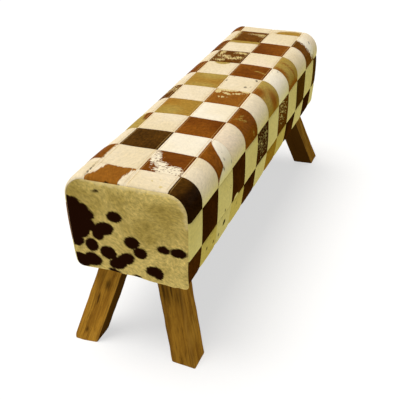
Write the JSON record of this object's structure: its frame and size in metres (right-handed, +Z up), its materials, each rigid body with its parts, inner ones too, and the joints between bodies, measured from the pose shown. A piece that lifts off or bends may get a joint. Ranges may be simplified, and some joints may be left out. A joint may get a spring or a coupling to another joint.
{
  "type": "pommel horse bench",
  "caption": "Padded bench shaped like a pommel horse's body, covered in patchwork hair-on hide, with hide end panels and splayed square wooden legs.",
  "frame": {"origin": "On the floor, under the middle of the bench, which is the middle of the foot of the bounding box.", "axes": "+X along the bench towards its right end, -Y its front, +Z up."},
  "size_m": [1.1692, 0.3266, 0.458],
  "materials": {
    "patchwork_hide": "short-haired hide in squares of cream, rust, olive amber and near-black brown, satin where the hair lies flat",
    "end_hide": "short-haired tan olive hide with near-black spots",
    "foam": "matt cut upholstery foam",
    "plywood": "sanded, bare birch plywood",
    "leg_wood": "stained and waxed hardwood, worn at the arrises",
    "block_wood": "bare sawn pine",
    "zinc": "zinc-plated",
    "lining": "matt black spun-bonded cloth"
  },
  "bodies": {
    "root": {"patch_row_01": "patchwork_hide", "patch_row_02": "patchwork_hide", "patch_row_03": "patchwork_hide", "patch_row_04": "patchwork_hide", "patch_row_05": "patchwork_hide", "patch_row_06": "patchwork_hide", "patch_row_07": "patchwork_hide", "patch_row_08": "patchwork_hide", "patch_row_09": "patchwork_hide", "patch_row_10": "patchwork_hide", "patch_row_11": "patchwork_hide", "patch_row_12": "patchwork_hide", "end_panel_left": "end_hide", "end_panel_right": "end_hide", "bottom_lining": "lining", "foam_top": "foam", "foam_front": "foam", "foam_back": "foam", "foam_end_left": "foam", "foam_end_right": "foam", "top_board": "plywood", "bottom_board": "plywood", "side_board_front": "plywood", "side_board_back": "plywood", "end_board_left": "plywood", "end_board_right": "plywood", "rib_1": "plywood", "rib_2": "plywood", "rib_3": "plywood", "leg_front_left": "leg_wood", "leg_block_front_left": "block_wood", "leg_washer_front_left": "zinc", "leg_nut_front_left": "zinc", "leg_bolt_front_left": "zinc", "leg_back_left": "leg_wood", "leg_block_back_left": "block_wood", "leg_washer_back_left": "zinc", "leg_nut_back_left": "zinc", "leg_bolt_back_left": "zinc", "leg_front_right": "leg_wood", "leg_block_front_right": "block_wood", "leg_washer_front_right": "zinc", "leg_nut_front_right": "zinc", "leg_bolt_front_right": "zinc", "leg_back_right": "leg_wood", "leg_block_back_right": "block_wood", "leg_washer_back_right": "zinc", "leg_nut_back_right": "zinc", "leg_bolt_back_right": "zinc"}
  },
  "joints": []
}
